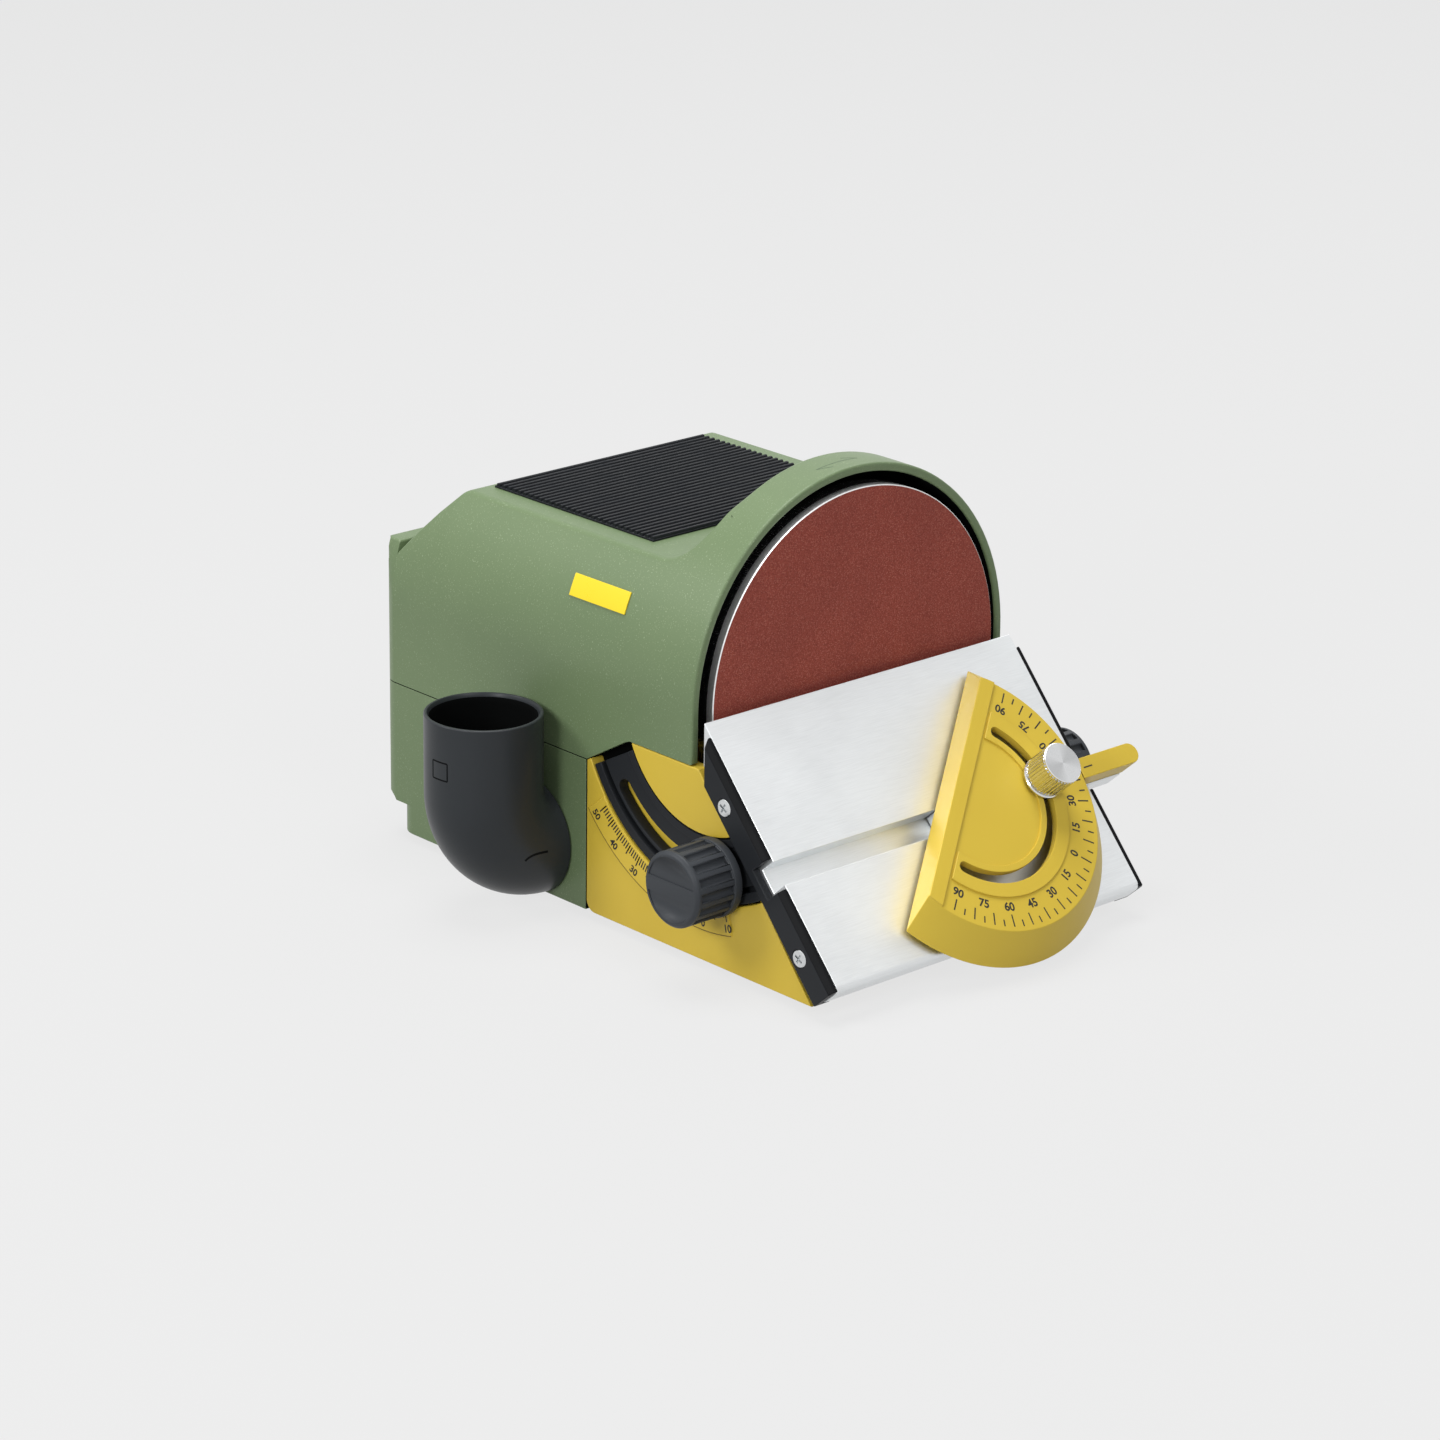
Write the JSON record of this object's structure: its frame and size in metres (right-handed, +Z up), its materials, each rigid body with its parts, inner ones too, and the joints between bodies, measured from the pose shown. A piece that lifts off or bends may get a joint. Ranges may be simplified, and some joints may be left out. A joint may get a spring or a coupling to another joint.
{
  "type": "benchtop disc sander",
  "caption": "Benchtop disc sander with an arched moulded housing, a guarded abrasive disc, a tilting grooved table, an angle stop and a swivelling dust elbow.",
  "frame": {"origin": "on the bench under the feet, straight below the centre of the abrasive face", "axes": "+X to the right seen from the front, +Y from the abrasive face to the back along the disc's axis, +Z up"},
  "size_m": [0.2002, 0.2438, 0.1528],
  "materials": {
    "green_plastic": "fine-grained moulding with pale flecks",
    "yellow_plastic": "satin moulding",
    "black_plastic": "fine-grained moulding",
    "black_rubber": "matt",
    "brushed_aluminium": "fine brushed",
    "abrasive": "coarse grit on cloth",
    "steel": "machined",
    "zinc": "zinc plated",
    "magnet": "sintered",
    "copper": "copper",
    "carbon": "pressed carbon",
    "brown_plastic": "phenolic moulding",
    "circuit_board": "soldered board",
    "board_parts": "moulded components",
    "pot_metal": "pressed can",
    "red_plastic": "polished",
    "lead_red": "insulation",
    "lead_brown": "insulation",
    "lead_blue": "insulation"
  },
  "bodies": {
    "housing": {"upper_housing": "green_plastic", "lower_housing": "green_plastic", "front_base": "yellow_plastic", "top_grip_pad": "black_rubber", "side_badge": "yellow_plastic", "rubber_feet": "black_rubber", "housing_screws": "steel", "base_screws": "steel", "motor_plate": "steel", "plate_screws": "steel", "motor_screws": "steel", "motor_front_bell": "brushed_aluminium", "motor_can": "steel", "motor_magnets": "magnet", "motor_rear_bell": "brushed_aluminium", "front_bearing": "steel", "rear_bearing": "steel", "brush_holders": "brown_plastic", "carbon_brushes": "carbon", "motor_leads": "lead_red", "dust_duct": "black_plastic", "control_board": "circuit_board", "board_parts": "board_parts", "switch_body": "black_plastic", "switch_leads": "lead_brown", "dial_potentiometer": "pot_metal", "dial_nut": "zinc", "cord_gland": "black_plastic", "supply_leads": "lead_blue", "clamp_nuts": "zinc"},
    "disc_rotor": {"sanding_disc": "brushed_aluminium", "abrasive_sheet": "abrasive", "motor_shaft": "steel", "armature_core": "steel", "armature_windings": "copper", "commutator": "copper", "cooling_fan": "black_plastic", "disc_set_screw": "steel"},
    "table": {"table_plate": "brushed_aluminium", "table_bracket_left": "black_plastic", "table_bracket_right": "black_plastic", "bracket_screws": "zinc"},
    "clamp_left": {"clamp_knob_left": "black_plastic", "clamp_stud_left": "zinc"},
    "clamp_right": {"clamp_knob_right": "black_plastic", "clamp_stud_right": "zinc"},
    "elbow": {"dust_elbow": "black_plastic"},
    "stop_slide": {"slide_rail": "brushed_aluminium", "index_bar": "yellow_plastic", "index_bar_screws": "zinc", "protractor_pivot": "zinc"},
    "protractor": {"protractor": "yellow_plastic"},
    "stop_knob": {"stop_knob": "brushed_aluminium", "stop_stud": "steel"},
    "rocker": {"switch_rocker": "red_plastic"},
    "dial": {"speed_dial": "black_plastic", "dial_shaft": "steel"}
  },
  "joints": [
    {"name": "disc_spin", "type": "hinge", "parent": "housing", "child": "disc_rotor", "pos_m": [0, 0, 0.0834], "axis": [0, 1, 0], "continuous": true},
    {"name": "table_tilt", "type": "hinge", "parent": "housing", "child": "table", "pos_m": [0, -0.0025, 0.0826], "axis": [-1, 0, 0], "range_deg": [-1.7, 58.3]},
    {"name": "clamp_left_turn", "type": "hinge", "parent": "housing", "child": "clamp_left", "pos_m": [-0.077, -0.01143, 0.03442], "axis": [-1, 0, 0], "range_deg": [0, 180]},
    {"name": "clamp_right_turn", "type": "hinge", "parent": "housing", "child": "clamp_right", "pos_m": [0.077, -0.01143, 0.03442], "axis": [1, 0, 0], "range_deg": [0, 180]},
    {"name": "elbow_swivel", "type": "hinge", "parent": "housing", "child": "elbow", "pos_m": [-0.0697, 0.079, 0.022], "axis": [1, 0, 0], "range_deg": [-90, 90]},
    {"name": "stop_slide_travel", "type": "slide", "parent": "table", "child": "stop_slide", "axis": [1, 0, 0], "range_m": [-0.065, 0.03]},
    {"name": "protractor_turn", "type": "hinge", "parent": "stop_slide", "child": "protractor", "pos_m": [0.0112, -0.03809, 0.04265], "axis": [0, -0.7466, 0.6652], "range_deg": [-45, 135]},
    {"name": "stop_knob_turn", "type": "hinge", "parent": "stop_slide", "child": "stop_knob", "pos_m": [0.0388, -0.03809, 0.04265], "axis": [0, -0.7466, 0.6652], "range_deg": [0, 270]},
    {"name": "rocker_tilt", "type": "hinge", "parent": "housing", "child": "rocker", "pos_m": [0.0694, 0.125, 0.034], "axis": [0, -1, 0], "range_deg": [0, 20]},
    {"name": "dial_turn", "type": "hinge", "parent": "housing", "child": "dial", "pos_m": [0.0694, 0.092, 0.034], "axis": [1, 0, 0], "range_deg": [0, 280]}
  ]
}
